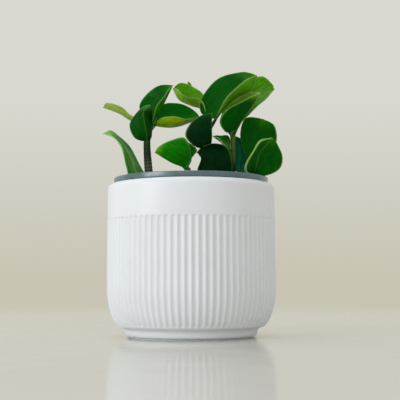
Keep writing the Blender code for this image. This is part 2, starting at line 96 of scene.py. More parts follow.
# Liner
FIT_GAP = 0.3 * MM
RIM_HEIGHT = 4.1 * MM
RIM_INNER_RADIUS = 56.2 * MM
RIM_ROUND = 0.6 * MM
RIM_EDGE = 0.3 * MM
LINER_TOP_RADIUS = 55.8 * MM
LINER_FOOT_RADIUS = 50.0 * MM
LINER_BOTTOM = 24.0 * MM
LINER_WALL = 1.6 * MM
LINER_CHAMFER = 1.5 * MM
DRAIN_HOLES = 6
DRAIN_RING = 30.0 * MM
DRAIN_RADIUS = 3.0 * MM
DRAIN_DEPTH = 10.0 * MM
LINER_POINTS = 240
LINER_SHARP = 40.0

# Soil: its lumps' heights in millimetres and scales; each grain's count, sizes in millimetres and flatness
SOIL_LEVEL = 113.0 * MM
SOIL_MOUND = 2.0 * MM
SOIL_POINTS = 240
SOIL_ROWS = 70
SOIL_SHARP = 60.0
SOIL_CENTRE = 0.012
SOIL_LUMPS = ((0.9, 90.0), (0.5, 260.0), (0.25, 700.0))
LUMPS_FADE = 6.0
LUMPS_END = 1.02
CRUMBS = (1100, (0.5, 1.6), 0.75)
CHIPS = (70, (1.0, 2.2), 0.4)
PERLITE = (70, (0.6, 1.2), 0.85)
GRAIN_LIFT = 0.3
GRAIN_LUMPS = (0.72, 1.15)

# Stems and leaves
STEM_SIDES = 28
STEM_ROWS = 90
STEM_LUMPS = 0.025
STEM_STREAKS = (900.0, 900.0, 90.0)
BARK_SCARS = (1.5, 3.2)
GREEN_SCARS = (9.0, 14.0)
FIRST_SCAR = 6.0 * MM
SCAR_WIDTH = 0.45 * MM
SCAR_RELIEF = 0.05
DOME_ROWS = 5
DOME_SHARE = 0.6
PLANT_SHARP = 75.0
STALK_RADIUS = 1.3 * MM
STALK_EDGE = 0.32
STALK_THINNING = 0.7
MARGIN_HALF_THICKNESS = 0.4 * MM
BLADE_HALF_THICKNESS = 0.5 * MM
MIDRIB_HALF_THICKNESS = 0.9 * MM
TIP_HALF_WIDTH = 0.4 * MM
TIP_SHARE = 0.988
TIP_POINT = 0.3 * MM
TAPER_END = 0.4
CLOSER_ENDS = 0.25
FLAT_BELOW = 3.0 * MM
RIB_FADE = 0.2
CREASE_FADE = 0.12
EDGE_BULGE = 0.8
BOW = 0.08
FIRST_BLADE_SHARE = 1.0 / 9.0
WAVE = 0.35 * MM
WAVES = (2.0, 3.2)
MARGIN_START = 0.05
STALK_ROWS = 6
BLADE_ROWS = 60
ACROSS = [0.0, 0.03, 0.08, 0.15, 0.24, 0.34, 0.45, 0.56, 0.67, 0.77, 0.86, 0.93, 0.98, 1.0]
COLUMNS = [-out for out in reversed(ACROSS[1:])] + ACROSS

# Leaf colours: veins in millimetres, factors on a leaf's own tints, the share of light that shines through,
# and for tip, dry point and stalk where their tint starts, over how far it changes, and its strength
VEIN_SPACING = 2.6
VEIN_SLANT = 0.9
PALER = (1.7, 1.35, 1.4)
DEEPER = (0.58, 0.72, 0.85)
GLOW_TINT = (1.6, 1.4, 0.8)
LEAF_GLOW = 0.2
LEAF_GLOSS = 0.16
GLOSS_TINT = (0.3, 1.0, 0.3, 1.0)
TIP_PART = (0.72, 0.3, 0.75)
DRY_PART = (0.93, 0.055, 0.55)
STALK_PART = (0.01, 0.08, 0.8)
PALLOR_ENDS = (0.5, 1.1)

# Studio
FLOOR_RADIUS = 4.0
BACKDROP_RADIUS = 6.0
FADE_START = 0.45
FADE_END = 1.0
AIM = (0.0, 0.0, 0.1)
AMBIENT = (1.0, 0.99, 0.965)
AMBIENT_STRENGTH = 0.58

# Each light's place, size, power and colour, and whether it shows in reflections
LIGHTS = {
    "key": ((-1.3, -0.9, 0.42), 0.8, 9.0, (0.92, 0.965, 1.0), True),
    "front": ((0.3, -1.6, 0.3), 1.2, 3.0, (1.0, 0.985, 0.96), False),
    "top": ((-0.2, 0.3, 1.5), 1.0, 5.0, (0.93, 0.97, 1.0), True),
    "back": ((-1.5, 0.7, 0.35), 0.9, 3.0, (0.96, 0.98, 1.0), False),
}


def linear(red, green, blue):
    """A display colour from 0 to 255 as the linear values that shaders take."""
    values = []
    for part in (red, green, blue):
        part = part / 255.0
        values.append(part / 12.92 if part <= 0.04045 else ((part + 0.055) / 1.055) ** 2.4)
    return tuple(values)


POT_WHITE = linear(234, 238, 243)
# Grey of the real smudges, also used as painted shade in the grooves
POT_SMUDGE_AND_SHADE = linear(204, 206, 204)
LINER_DARK = linear(68, 95, 103)
LINER_PALE = linear(92, 118, 125)
SOIL_DARK = linear(30, 24, 18)
SOIL_BROWN = linear(66, 50, 36)
SOIL_PALE = linear(120, 104, 84)
BARK_DARK = linear(62, 42, 28)
BARK_PALE = linear(128, 96, 66)
PERLITE_GREY = linear(186, 184, 176)
PERLITE_WHITE = linear(232, 230, 222)
BARK_LOW = linear(98, 104, 86)
BARK_HIGH = linear(38, 54, 44)
BARK_SCAR = linear(32, 34, 26)
# The green stems' dark navy lower part is painted shade under the leaves
STEM_SHADED_LOW = linear(4, 22, 30)
STEM_HIGH = linear(84, 104, 26)
STEM_SCAR = linear(24, 40, 18)
STALK_GREEN = linear(44, 96, 24)
FLOOR_PALE = linear(219, 216, 207)
FLOOR_SHADE = linear(211, 208, 198)
# Backdrop colours at the top and at the foot: the darker foot is painted shade
BACKDROP_HIGH = linear(217, 217, 210)
BACKDROP_LOW = linear(199, 195, 178)

# Leaf greens, each leaf's own colour with its light and shade painted in: the darkest greens are painted
# shade, the teal is painted shade with a cool painted reflection, and the yellowest greens paint light
# shining through the blades
GREENS = {
    "shaded_black": linear(2, 44, 16),
    "deep": linear(3, 80, 6),
    "dark": linear(3, 90, 3),
    "rich": linear(5, 118, 4),
    "mid": linear(46, 142, 10),
    "pale": linear(92, 150, 48),
    "fresh": linear(26, 142, 8),
    "light": linear(86, 162, 10),
    "yellow": linear(144, 196, 38),
    "vivid": linear(140, 212, 22),
    "olive": linear(160, 188, 66),
    "lime": linear(178, 212, 118),
    "sage": linear(84, 168, 68),
    "bright": linear(186, 232, 26),
    "shaded_teal": linear(18, 124, 86),
}

DRY_TIP = linear(150, 112, 44)
RIB_PALE = linear(168, 204, 110)
# Pale of the margins: partly the leaf's real paler edge, partly painted highlight along the edges
MARGIN_PALE = linear(168, 212, 122)

# Stems, in millimetres: each one's route and its radii at the foot and at the top
STEMS = {
    "shoot_left": ([(-32, -8, 95), (-32, -8, 117), (-34, -8, 148), (-32.5, -8, 161)], (3.9, 2.3)),
    "shoot_middle": ([(-2.5, -15, 95), (-2.5, -15, 117), (-2.7, -16, 128)], (2.8, 2.4)),
    "shoot_centre": ([(12, -4, 95), (12, -4, 117), (12.5, -4, 147), (14.5, -3, 162)], (3, 2)),
    "shoot_low": ([(24, -8, 95), (24, -8, 117), (24, -8, 124)], (2.6, 2.2)),
    "shoot_right": ([(32.6, -3, 95), (32.6, -3, 117), (32.9, -3, 144), (33.1, -3, 157)], (2.2, 1.8)),
    "shoot_far_right": ([(46, -8, 95), (46, -8, 117), (46, -8, 124)], (2.6, 2.2)),
}

# Looks of a leaf: the greens of its upper side, of the undersides of its left and right half and of its tip,
# then how pale its midrib and its left and right margins are. Leaves that point back share one look.
BACK_LOOKS = ("dark", "pale", "pale", "mid", 0.2, 0.15, 0.15)

# Leaves, in millimetres: each one's looks, then its midrib and its left and right margins
LEAVES = {
    "shoot_left": {
        "upper": (
            ("dark", "pale", "mid", "mid", 0.1, 0.15, 0.2),
            [(-32.5, -8, 159), (-30.5, -8, 163), (-26, -9, 171.5), (-20.5, -10, 181), (-14, -12, 194)],
            [(-40, 0, 178), (-35, 2, 189), (-25.5, -4, 194.5)],
            [(-28.5, -17, 169.5), (-24.5, -20, 178), (-18, -17, 187.5)],
        ),
        "front": (
            ("rich", "deep", "deep", "sage", 0.1, 0.15, 0.2),
            [
                (-33.5, -9, 146), (-34, -12, 149.5), (-34, -16, 155), (-35.5, -18, 164), (-36, -18, 171.5),
                (-31, -14, 178),
            ],
            [(-30.5, -11, 153.5), (-30, -10, 161.5), (-30, -11, 172)],
            [(-43, -14, 152.5), (-47, -13, 162), (-42, -14, 171.5), (-37, -14, 176)],
        ),
        "pointing_left": (
            ("olive", "olive", "olive", "olive", 0.3, 0.2, 0.2),
            [(-34, -7, 161), (-38.5, -6, 165), (-47, -5, 168), (-56, -4, 173.5), (-69, -2, 178.5)],
            [(-47, -14, 168.5), (-55, -16, 174), (-63, -12, 179)],
            [(-49, 5, 174.5), (-56.5, 8, 180.5), (-65, 5, 183)],
        ),
        "pointing_right": (
            ("rich", "pale", "bright", "mid", 0.1, 0.1, 0.2),
            [
                (-32.5, -7, 162), (-28.5, -5, 164), (-22.5, -3, 163), (-13, -1, 163), (-3, 1, 166),
                (7.5, 3, 171.5),
            ],
            [(-22.5, 4, 180.5), (-11, 7, 183), (1, 6, 178)],
            [(-22, -14, 168), (-11.5, -16, 168), (-1.5, -10, 167.5)],
        ),
        "pointing_back": (
            BACK_LOOKS,
            [(-33.5, -7, 148), (-34.5, 0, 154), (-36, 10, 163), (-37, 20, 169), (-38, 34, 175)],
            [(-43, 8, 163), (-47, 19, 171), (-44, 29, 175)],
            [(-29, 9, 164), (-27, 20, 171), (-31, 29, 175)],
        ),
        "arching": (
            ("sage", "sage", "sage", "lime", 0.9, 0.5, 0.2),
            [
                (-33, -9, 116.5), (-38.5, -12, 119.5), (-43, -14, 127), (-45.5, -15, 134), (-49.5, -16, 142),
                (-56, -15.5, 151.5), (-62, -14, 157), (-68, -13, 155.5),
            ],
            [
                (-47, -18, 121), (-48.5, -20, 128), (-50.5, -23, 136.5), (-53.5, -22.5, 145),
                (-59.5, -19, 152.5),
            ],
            [
                (-35, -8.5, 122), (-38, -6, 129), (-43, -5, 138.5), (-48.8, -6, 147.5), (-55.5, -8.5, 154.3),
                (-62, -10.5, 158.5),
            ],
        ),
    },
    "shoot_middle": {
        "pointing_left": (
            ("fresh", "fresh", "pale", "vivid", 0.1, 0.2, 0.3),
            [
                (-2.7, -16, 126.5), (-3.5, -17.5, 128.5), (-8.5, -20, 130.5), (-14.5, -22, 132.5),
                (-27.5, -24, 140),
            ],
            [(-0.5, -22, 140), (-5, -27, 150), (-16, -27, 148), (-24.5, -26, 143.5)],
            [(0, -12, 136), (4.5, -6, 144.5), (-5.5, -8, 150.5), (-17.5, -15, 146.5)],
        ),
        "pointing_back": (
            BACK_LOOKS,
            [(-2.6, -15, 122), (-3.5, -9, 127), (-5.5, -1, 133), (-8, 8, 138), (-11, 20, 143)],
            [(-11, -3, 136), (-15.5, 5, 141), (-15, 14, 143)],
            [(0, 1, 136.5), (-1, 11, 141.5), (-5, 18, 143.5)],
        ),
    },
    "shoot_centre": {
        "highest": (
            ("dark", "pale", "light", "light", 0.35, 0.1, 0.3),
            [
                (14.5, -3, 160), (18.5, -4, 167), (25, -6, 175.5), (35, -9, 184.5), (47, -11, 191),
                (51.5, -12, 201.5),
            ],
            [(8, 2, 175), (10, 5, 189), (21.5, 4, 201.5), (39.5, -4, 205.5)],
            [(21.5, -17, 172.5), (29, -22, 183.5), (40, -20, 194.5)],
        ),
        "pointing_back_left": (
            ("light", "yellow", "pale", "light", 0.3, 0.2, 0.2),
            [
                (14.3, -3, 160), (13.5, 0, 167.5), (9.5, 9, 178.5), (0, 15, 183), (-9.5, 19, 188.5),
                (-14.5, 22, 198.5),
            ],
            [(7.5, 3, 185.5), (-3.5, 6, 187.5), (-10, 14, 195)],
            [(10, 18, 191.5), (2, 24, 199.5), (-8, 26, 203)],
        ),
        "pointing_back": (
            BACK_LOOKS,
            [(14, -3, 157), (15, 6, 168), (12.5, 18, 180), (7, 28, 191), (-2.5, 35, 206.5)],
            [(7.5, 18, 181), (1, 29, 190.5), (-2, 34, 199.5)],
            [(15, 25, 188.5), (9, 33, 194.5), (2, 35.5, 200.5)],
        ),
        "front": (
            ("dark", "pale", "shaded_black", "dark", 0.1, 0.2, 0.15),
            [(12.7, -5, 141), (14.5, -10, 146), (15.5, -15, 152), (15.5, -18, 160), (16, -17, 171)],
            [(12.5, 0, 151.5), (11.5, 2, 159.5), (13.5, -6, 168)],
            [(4.5, -18, 144.5), (-4, -20, 153), (0, -18, 163), (8, -16, 169)],
        ),
    },
    "shoot_low": {
        "pointing_left": (
            ("shaded_black", "pale", "pale", "deep", 0.0, 0.1, 0.1),
            [(24, -8, 122), (23, -11, 126), (18.5, -13, 131.5), (13, -14, 138.5), (4, -15, 141)],
            [(17, -15, 119.5), (6, -18, 121.5), (5, -19, 127), (7.5, -18, 136)],
            [(30.5, -11, 126), (31, -12, 134.5), (27, -14, 145), (17.5, -16, 147.5), (9.5, -17, 145)],
        ),
        "pointing_back": (
            BACK_LOOKS,
            [(24, -8, 119), (24, -3, 124), (24, 5, 130), (23.5, 13, 135), (22, 24, 140)],
            [(18, 4, 131), (17, 12, 136), (18.5, 19, 139)],
            [(28.5, 4, 129.5), (29, 12, 134.5), (26.5, 19, 138)],
        ),
    },
    "shoot_right": {
        "front": (
            ("yellow", "pale", "dark", "vivid", 0.4, 1.0, 0.2),
            [(32.6, -3.2, 155), (33.8, -5.5, 159), (37.5, -8, 164.5), (43, -11, 171.5), (54, -16, 187)],
            [(25, 4, 172), (28, 7, 183), (38.5, 3.5, 189.5), (48, -5, 189.5)],
            [(27, -10, 157.5), (22.5, -14, 165), (28, -18, 173.5), (40.5, -20, 180)],
        ),
        "behind": (
            ("light", "pale", "yellow", "light", 0.2, 0.2, 0.3),
            [(33.1, -3, 155.5), (36, 0, 162), (46, 4, 177), (53.5, 6, 187), (67, 8, 194.5)],
            [(39, 10, 186), (49, 14, 203), (57.5, 14, 206), (64.5, 10, 199)],
            [(41, -2, 168.5), (55.5, -5, 181.5), (61.5, 0, 188)],
        ),
        "low_left": (
            ("mid", "dark", "pale", "mid", 0.2, 1.0, 0.2),
            [(32.7, -3, 130), (32, 1, 137), (29.5, 5, 145.5), (26, 7.5, 150.5), (17, 10, 157.5)],
            [(27.5, -5, 145.5), (24.5, -3, 150.5), (21, 2, 154.5)],
            [(32.5, 12, 149.5), (29.5, 14, 157.5), (23, 13, 158)],
        ),
        "low_behind": (
            ("shaded_teal", "shaded_teal", "shaded_teal", "shaded_teal", 0.1, 0.6, 0.6),
            [(32.8, -3, 120), (37, 2, 126.5), (38, 5, 134), (38.5, 8, 144), (36, 10, 157)],
            [(32.5, 5, 132), (30.5, 8, 144.5), (32.5, 9, 153.5)],
            [(43.5, 2.5, 127.5), (44.5, 4.5, 136), (44.5, 6, 144), (41, 8, 153.5)],
        ),
        "pointing_back": (
            BACK_LOOKS,
            [(33, -3, 148), (32.5, 3, 155), (32, 12, 165), (31, 22, 173), (31, 36, 181)],
            [(26.5, 10, 165), (24.5, 20, 173), (26, 30, 179)],
            [(37.5, 11, 166), (37.5, 21, 174), (35.5, 30, 179)],
        ),
    },
    "shoot_far_right": {
        "behind": (
            ("dark", "pale", "pale", "mid", 0.0, 0.1, 0.15),
            [(46, -8, 122), (45.5, -4, 128), (47, 0, 138), (49.5, 2, 150.5), (57, 1, 169.5)],
            [(41, 1, 145), (39, 2, 158.5), (43.5, 2, 170)],
            [(55.5, 0, 134.5), (66.5, 2, 150), (65.5, 1, 163.5)],
        ),
        "front": (
            ("dark", "pale", "pale", "mid", 0.15, 1.3, 0.15),
            [(46, -8, 121), (47.5, -13, 123.5), (49.5, -17, 130), (52, -19, 139.5), (62.5, -18, 151.5)],
            [(40.5, -22, 126.5), (45.5, -26, 138), (52.5, -24, 148.5)],
            [(56.5, -14, 123), (68, -12, 128.5), (70, -13, 138), (66.5, -15, 146.5)],
        ),
        "pointing_back": (
            BACK_LOOKS,
            [(46, -8, 120), (48, 0, 126), (50, 8, 134), (52, 16, 141), (54, 28, 148)],
            [(44, 9, 137), (44, 17, 144), (48, 25, 148)],
            [(56, 5, 137), (59.5, 13, 143), (58.5, 22, 148)],
        ),
    },
}


def mix(start, end, share):
    """The value at a share of the way from start to end."""
    return start + (end - start) * share


def ease(share):
    """A share from 0 to 1 that starts and ends slowly."""
    share = np.clip(share, 0.0, 1.0)
    return share * share * (3.0 - 2.0 * share)


def lengths(vectors):
    """The length of each row of an array of vectors."""
    return np.linalg.norm(vectors, axis=-1, keepdims=True)


def unit(vectors):
    """The array's vectors at length one."""
    return vectors / np.maximum(lengths(vectors), 1e-12)


class Shader:
    """Builds one material from nodes."""

    def __init__(self, name):
        self.material = bpy.data.materials.new(name)
        self.material.use_nodes = True
        self.tree = self.material.node_tree
        self.principled = self.tree.nodes["Principled BSDF"]
        self.output = self.tree.nodes["Material Output"]

    def node(self, kind, inputs=None, **settings):
        """A node of that kind, with its settings and its inputs: values, or sockets of other nodes."""
        made = self.tree.nodes.new(f"ShaderNode{kind}")
        for name, value in settings.items():
            setattr(made, name, value)
        for name, value in (inputs or {}).items():
            self.feed(made.inputs[name], value)
        return made

    def feed(self, socket, value):
        """Sets an input, or joins it to another node's output."""
        if isinstance(value, bpy.types.NodeSocket):
            self.tree.links.new(value, socket)
        else:
            socket.default_value = value

    def place(self):
        """The object's own coordinates, in metres."""
        return self.node("TexCoord").outputs["Object"]

    def noise(self, scale, detail=2.0, vector=None, roughness=0.5):
        """A noise value from 0 to 1, with its scale in cells a metre unless a vector is given."""
        inputs = {"Scale": scale, "Detail": detail, "Roughness": roughness}
        inputs["Vector"] = vector if vector is not None else self.place()
        return self.node("TexNoise", inputs).outputs["Fac"]

    def ramp(self, value, low, high, start=0.0, end=1.0):
        """The value's range from low to high, mapped smoothly to start and end."""
        inputs = {"Value": value, "From Min": low, "From Max": high, "To Min": start, "To Max": end}
        return self.node("MapRange", inputs, interpolation_type="SMOOTHSTEP").outputs["Result"]

    def math(self, operation, first, second=0.0):
        """Arithmetic on values or sockets."""
        made = self.node("Math", operation=operation)
        self.feed(made.inputs[0], first)
        self.feed(made.inputs[1], second)
        return made.outputs["Value"]

    def plus(self, first, second):
        """The sum of two values or sockets."""
        return self.math("ADD", first, second)

    def minus(self, first, second):
        """The difference of two values or sockets."""
        return self.math("SUBTRACT", first, second)

    def times(self, first, second):
        """The product of two values or sockets."""
        return self.math("MULTIPLY", first, second)

    def absolute(self, value):
        """The value without its sign."""
        return self.math("ABSOLUTE", value)

    def blend(self, share, first, second, how="MIX"):
        """Two colours mixed by a share."""
        made = self.node("Mix", data_type="RGBA", blend_type=how)
        self.feed(made.inputs["Factor"], share)
        for socket, value in ((made.inputs[6], first), (made.inputs[7], second)):
            self.feed(socket, value if isinstance(value, bpy.types.NodeSocket) else (*value, 1.0))
        return made.outputs[2]

    def attribute(self, name, output="Fac"):
        """A value, colour or vector that the mesh carries."""
        return self.node("Attribute", attribute_name=name).outputs[output]

    def bump(self, height, strength, distance):
        """A bumped normal from a height."""
        inputs = {"Height": height, "Strength": strength, "Distance": distance}
        return self.node("Bump", inputs).outputs["Normal"]

    def finish(self, **inputs):
        """Feeds the Principled shader's inputs, named with underscores for spaces, and gives the material."""
        for name, value in inputs.items():
            self.feed(self.principled.inputs[name.replace("_", " ")], value)
        return self.material

    def overlay(self, share, shader):
        """Mixes another shader over the Principled one, and gives the material."""
        both = self.node("MixShader", {"Fac": share})
        self.tree.links.new(self.principled.outputs["BSDF"], both.inputs[1])
        self.tree.links.new(shader, both.inputs[2])
        self.tree.links.new(both.outputs["Shader"], self.output.inputs["Surface"])
        return self.material


def white_plastic():
    """Satin white plastic with faint smudges, a little duller and greyer in patches down the grooves, where
    that grey is painted shade.
    """
    s = Shader("white_plastic")
    # Painted shade: grey laid in patches down the grooves, where shade falls
    groove_shade = s.times(s.attribute("groove"), s.noise(60.0, 4.0))
    smudge = s.ramp(s.noise(22.0, 5.0), 0.45, 0.8)
    colour = s.blend(s.times(groove_shade, 0.25), POT_WHITE, POT_SMUDGE_AND_SHADE)
    colour = s.blend(s.times(smudge, 0.12), colour, POT_SMUDGE_AND_SHADE)
    roughness = s.plus(s.times(smudge, 0.1), s.ramp(s.noise(900.0), 0.2, 0.8, 0.3, 0.38))
    normal = s.bump(s.noise(1400.0), 0.06, 0.2 * MM)
    return s.finish(Base_Color=colour, Roughness=roughness, Normal=normal, Specular_IOR_Level=0.35)


def liner_plastic():
    """Blue-grey satin plastic with faint handling marks."""
    s = Shader("liner_plastic")
    mottle = s.ramp(s.noise(70.0, 5.0), 0.35, 0.7)
    colour = s.blend(mottle, LINER_DARK, LINER_PALE)
    marks = s.ramp(s.noise(240.0, 3.0), 0.55, 0.75)
    roughness = s.plus(s.times(marks, 0.1), 0.24)
    normal = s.bump(s.noise(1500.0), 0.08, 0.2 * MM)
    return s.finish(Base_Color=colour, Roughness=roughness, Normal=normal, Specular_IOR_Level=1.0)


def potting_mix():
    """Dark crumbly soil."""
    s = Shader("potting_mix")
    colour = s.blend(s.ramp(s.noise(420.0, 5.0), 0.35, 0.7), SOIL_DARK, SOIL_BROWN)
    colour = s.blend(s.times(s.ramp(s.noise(1600.0), 0.6, 0.75), 0.6), colour, SOIL_PALE)
    normal = s.bump(s.noise(1800.0, 5.0), 0.7, 0.6 * MM)
    return s.finish(Base_Color=colour, Roughness=0.95, Normal=normal, Specular_IOR_Level=0.2)


def soil_bits(name, dark, pale, roughness):
    """Grains of one kind that lie on the soil."""
    s = Shader(name)
    colour = s.blend(s.noise(500.0, 4.0), dark, pale)
    normal = s.bump(s.noise(2200.0, 4.0), 0.5, 0.4 * MM)
    return s.finish(Base_Color=colour, Roughness=roughness, Normal=normal, Specular_IOR_Level=0.25)


def leaf_marks(s, along, across, out):
    """Shares from 0 to 1 of a leaf's side veins, midrib, pale margin and lengthwise streaks."""
    sway = s.times(s.minus(s.noise(90.0, 3.0), 0.5), 1.6)
    slant = s.minus(along, s.times(s.absolute(across), VEIN_SLANT))
    phase = s.math("DIVIDE", s.plus(slant, sway), VEIN_SPACING)
    wave = s.absolute(s.minus(s.math("FRACT", phase), 0.5))
    vein = s.times(s.ramp(wave, 0.0, 0.09, 1.0, 0.0), s.ramp(out, 0.8, 1.0, 1.0, 0.0))
    rib = s.ramp(s.absolute(across), 0.15, 0.8, 1.0, 0.0)
    margin_start = s.minus(0.97, s.times(s.attribute("margin"), 0.2))
    margin = s.ramp(out, margin_start, s.plus(margin_start, 0.04))
    stretched = {"X": s.times(slant, 0.16), "Y": s.times(across, 0.55), "Z": s.attribute("side")}
    streak_place = s.node("CombineXYZ", stretched).outputs["Vector"]
    streak = s.ramp(s.noise(1.0, 4.0, streak_place, 0.6), 0.35, 0.65)
    return vein, rib, margin, streak


def leaf_skin():
    """A glossy leaf: each leaf's own tints, which carry its painted light and shade, with paler ribs and
    margins, fine veins and mottling.
    """
    s = Shader("leaf_skin")
    tint, side = s.attribute("tint", "Color"), s.attribute("side")
    leaf = s.node("SeparateXYZ", {"Vector": s.attribute("leaf", "Vector")})
    vein, rib, margin, streak = leaf_marks(s, *(leaf.outputs[axis] for axis in "XYZ"))
    mottle = s.ramp(s.noise(160.0, 5.0, roughness=0.6), 0.3, 0.7)
    pale = s.blend(1.0, tint, PALER, "MULTIPLY")
    deep = s.blend(1.0, tint, DEEPER, "MULTIPLY")
    colour = s.blend(s.times(streak, 0.7), deep, pale)
    colour = s.blend(s.times(mottle, 0.3), colour, tint)
    colour = s.blend(s.times(vein, 0.35), colour, pale)
    colour = s.blend(s.times(rib, s.attribute("rib")), colour, RIB_PALE)
    edging = s.math("MINIMUM", s.times(s.attribute("margin"), 2.0), 1.0)
    # Pale margin: partly real paler edge, partly painted highlight
    colour = s.blend(s.times(margin, edging), colour, MARGIN_PALE)
    relief = s.times(s.plus(s.times(vein, -0.5), s.times(rib, -0.7)), side)
    relief = s.plus(relief, s.times(s.noise(500.0), 0.12))
    roughness = s.plus(s.ramp(s.noise(300.0, 3.0), 0.3, 0.7, 0.28, 0.36), s.ramp(side, -0.5, 0.5, 0.14, 0.0))
    s.finish(Base_Color=colour, Roughness=roughness, Normal=s.bump(relief, 0.3, 0.3 * MM))
    s.finish(Specular_IOR_Level=LEAF_GLOSS, Specular_Tint=GLOSS_TINT)
    glow = s.node("BsdfTranslucent", {"Color": s.blend(1.0, colour, GLOW_TINT, "MULTIPLY")})
    return s.overlay(LEAF_GLOW, glow.outputs["BSDF"])


def stem_skin(name, low, high, scar, roughness):
    """A stem's bark or green skin, with thin leaf scars round it and fine streaks along it."""
    s = Shader(name)
    ring, height = s.attribute("ring"), s.attribute("height")
    streaks = s.node("Mapping", {"Vector": s.place(), "Scale": STEM_STREAKS}).outputs["Vector"]
    # Colour from low to high up the stem; on the green stems the dark low colour is painted shade
    colour = s.blend(s.ramp(height, 0.36, 0.58), low, high)
    colour = s.blend(s.times(s.noise(1.0, 4.0, streaks), 0.35), colour, scar)
    colour = s.blend(s.times(ring, s.ramp(height, 0.2, 1.0, 0.95, 0.4)), colour, scar)
    relief = s.plus(s.times(ring, -1.0), s.times(s.noise(1.0, 3.0, streaks), 0.4))
    normal = s.bump(relief, 0.5, 0.3 * MM)
    return s.finish(Base_Color=colour, Roughness=roughness, Normal=normal, Specular_IOR_Level=0.3)


def backdrop_colour(s):
    """The backdrop's colour at a height, darker towards the bottom as painted shade, as a shader that shines
    by itself.
    """
    height = s.node("SeparateXYZ", {"Vector": s.place()}).outputs["Z"]
    colour = s.blend(s.ramp(height, -0.3, 1.6), BACKDROP_LOW, BACKDROP_HIGH)
    return s.node("Emission", {"Color": colour, "Strength": 1.0}).outputs["Emission"]


def floor_paint():
    """The pale, slightly glossy surface that the pot stands on, which turns into the backdrop further out."""
    s = Shader("floor_paint")
    colour = s.blend(s.noise(3.0), FLOOR_SHADE, FLOOR_PALE)
    roughness = s.ramp(s.noise(14.0, 4.0), 0.3, 0.7, 0.1, 0.15)
    s.finish(Base_Color=colour, Roughness=roughness, Specular_IOR_Level=0.3)
    distance = s.node("VectorMath", {"Vector": s.place()}, operation="LENGTH").outputs["Value"]
    return s.overlay(s.ramp(distance, FADE_START, FADE_END), backdrop_colour(s))


def backdrop_paint():
    """The pale backdrop, with painted shade towards the bottom, seen by the camera and in reflections, which
    lights nothing else.
    """
    s = Shader("backdrop_paint")
    s.tree.links.new(backdrop_colour(s), s.output.inputs["Surface"])
    return s.material


def add_object(name, data):
    """An object with that mesh, camera or light, in the scene."""
    made = bpy.data.objects.new(name, data)
    bpy.context.scene.collection.objects.link(made)
    return made


def mesh_from(bm, name):
    """A mesh from the edited one, which is freed."""
    mesh = bpy.data.meshes.new(name)
    bm.to_mesh(mesh)
    bm.free()
    return mesh


def new_object(name, vertices, faces, materials, sharp, attributes=None, slots=None):
    """A smooth-shaded mesh object, with its normals facing out and the values that its shader reads."""
    mesh = bpy.data.meshes.new(name)
    mesh.from_pydata(vertices.tolist(), [], faces)
    bm = bmesh.new()
    bm.from_mesh(mesh)
    bmesh.ops.recalc_face_normals(bm, faces=bm.faces)
    bm.to_mesh(mesh)
    bm.free()
    for material in materials:
        mesh.materials.append(material)
    if slots is not None:
        mesh.polygons.foreach_set("material_index", slots)
    for key, (kind, values) in (attributes or {}).items():
        made = mesh.attributes.new(key, kind, "POINT")
        field = {"FLOAT": "value", "FLOAT_COLOR": "color", "FLOAT_VECTOR": "vector"}[kind]
        made.data.foreach_set(field, np.asarray(values, dtype=np.float32).ravel())
    mesh.shade_smooth()
    mesh.set_sharp_from_angle(angle=math.radians(sharp))
    return add_object(name, mesh)


def closed_skin(grid, hubs):
    """The points and faces of a skin over rows of rings, closed by a fan to a hub at each end."""
    rows, count = grid.shape[:2]
    vertices = np.concatenate([grid.reshape(-1, 3), hubs])
    faces = []
    for base in range(0, (rows - 1) * count, count):
        for i in range(count):
            right = (i + 1) % count
            faces.append((base + i, base + right, base + count + right, base + count + i))
    for base, hub in ((0, rows * count), ((rows - 1) * count, rows * count + 1)):
        faces += [(base + i, base + (i + 1) % count, hub) for i in range(count)]
    return vertices, faces


def turned(name, radii, heights, material, sharp, attributes=None):
    """A closed skin from rings of points round the axis; radii is rows by points, heights is one a row."""
    count = radii.shape[1]
    angle = np.arange(count) * (math.tau / count)
    levels = np.repeat(heights[:, None], count, 1)
    grid = np.stack([radii * np.cos(angle), radii * np.sin(angle), levels], -1)
    vertices, faces = closed_skin(grid, [(0.0, 0.0, heights[0]), (0.0, 0.0, heights[-1])])
    return new_object(name, vertices, faces, [material], sharp, attributes)


def arc(centre, radii, start, end, steps):
    """Profile points on an arc, as (radius, height); the angles are in degrees from outward to up."""
    angles = np.radians(np.linspace(start, end, steps))
    return [(centre[0] + radii[0] * math.cos(a), centre[1] + radii[1] * math.sin(a)) for a in angles]


def wall_radius(height):
    """The outer wall's radius, without flutes."""
    if height < CORNER_TOP:
        below = (CORNER_TOP - height) / (CORNER_TOP - PLINTH_HEIGHT)
        return BODY_RADIUS - CORNER_WIDTH + CORNER_WIDTH * math.sqrt(max(0.0, 1.0 - below * below))
    return mix(BODY_RADIUS, TOP_RADIUS, (height - CORNER_TOP) / (POT_HEIGHT - SHOULDER - CORNER_TOP))


